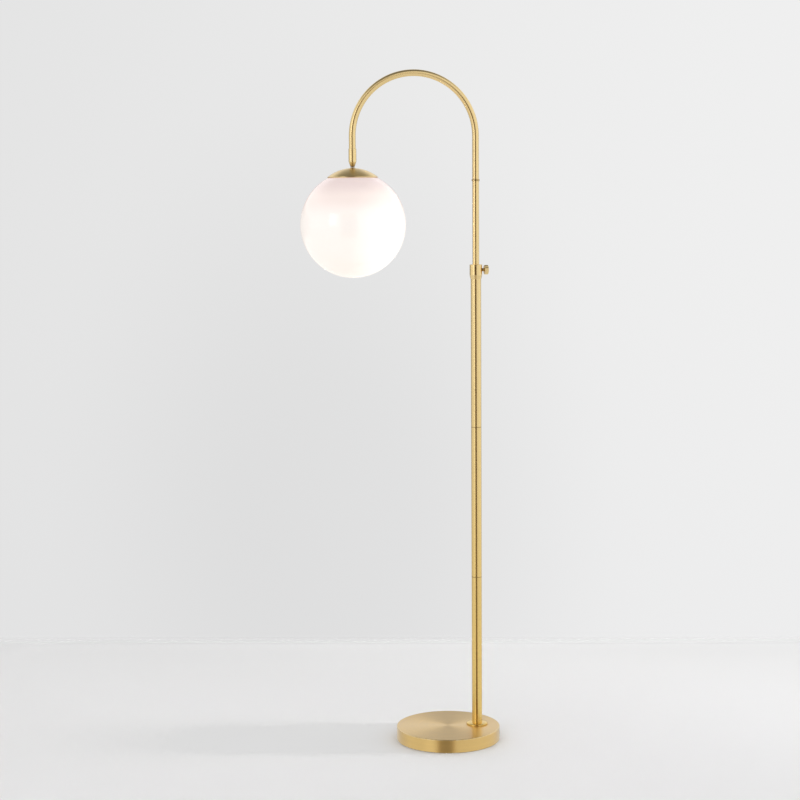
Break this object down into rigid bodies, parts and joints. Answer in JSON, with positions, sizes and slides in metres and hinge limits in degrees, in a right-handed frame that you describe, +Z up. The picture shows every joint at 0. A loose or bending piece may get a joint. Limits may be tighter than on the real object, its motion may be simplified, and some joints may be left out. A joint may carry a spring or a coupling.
{
  "type": "arc floor lamp",
  "caption": "Floor lamp with a round weighted base, a sectional pole, a sliding and turning half-circle arm and a hanging opal globe.",
  "frame": {"origin": "centre of the base's underside, on the floor", "axes": "+Z up; the arch reaches towards -X; the thumbscrew and the cord inlet look towards +X; XZ is the plane of the arch"},
  "size_m": [0.4805, 0.254, 1.634],
  "materials": {
    "brass": "satin, brushed and lacquered",
    "steel": "zinc plated, turned",
    "iron": "rough cast",
    "felt": "pressed felt",
    "rubber": "moulded, matt",
    "nylon": "natural nylon, matt",
    "holder_plastic": "moulded thermoset, light gloss",
    "ceramic": "glazed steatite",
    "contact_brass": "bright pressed sheet",
    "opal_glass": "glossy opal, lit from inside",
    "bulb_glass": "satin white, lit",
    "lead_sheath": "soft pvc sheath"
  },
  "bodies": {
    "stand": {"base_felt": "felt", "base_weight": "iron", "base_cover": "brass", "cord_grommet": "rubber", "cord_clip": "nylon", "clip_screws": "steel", "base_nipple": "steel", "base_washer": "steel", "base_nut": "steel", "foot_plug": "steel", "pole_flange": "brass", "lower_pole": "brass", "lower_coupler": "steel", "lower_insert": "steel", "middle_pole": "brass", "upper_coupler": "steel", "upper_insert": "steel", "upper_pole": "brass", "height_collar": "brass", "guide_bush": "nylon", "stand_lead": "lead_sheath", "slack_lead": "lead_sheath"},
    "slider": {"stem_spreader": "nylon"},
    "arm": {"stem_foot": "steel", "stem_tube": "brass", "stem_insert": "steel", "arm_coupler": "brass", "arch_tube": "brass", "arch_insert": "steel", "ferrule": "brass", "thrust_washer": "nylon", "arm_lead": "lead_sheath"},
    "shade": {"neck_stem": "steel", "neck_nut": "brass", "shade_cap": "brass", "gallery_spacer": "steel", "gallery_plate": "steel", "spring_clips": "steel", "cap_nut": "steel", "globe": "opal_glass", "holder_cap": "holder_plastic", "holder_body": "holder_plastic", "holder_core": "ceramic", "screw_shell": "contact_brass", "centre_contact": "contact_brass", "bulb_base": "contact_brass", "bulb_envelope": "bulb_glass", "holder_lead": "lead_sheath"},
    "pad": {"clamp_pad": "nylon"},
    "knob": {"clamp_knob": "brass"}
  },
  "joints": [
    {"name": "arm_height", "type": "slide", "parent": "stand", "child": "slider", "axis": [0, 0, 1], "range_m": [-0.195, 0.088], "deforming": ["slack_lead"]},
    {"name": "arm_swivel", "type": "hinge", "parent": "slider", "child": "arm", "pos_m": [0.073, 0, 1.05], "axis": [0, 0, 1], "range_deg": [-170, 170]},
    {"name": "shade_swivel", "type": "hinge", "parent": "arm", "child": "shade", "pos_m": [-0.225, 0, 1.41], "axis": [0, 0, 1], "range_deg": [-170, 170]},
    {"name": "clamp_travel", "type": "slide", "parent": "stand", "child": "pad", "axis": [1, 0, 0], "range_m": [0, 0.001]},
    {"name": "clamp_turn", "type": "hinge", "parent": "pad", "child": "knob", "pos_m": [0.0913, 0, 1.157], "axis": [1, 0, 0], "range_deg": [0, 360]}
  ],
  "couplings": [
    {"joint": "clamp_turn", "follows": "clamp_travel", "rad_per_m": 6283.2}
  ]
}
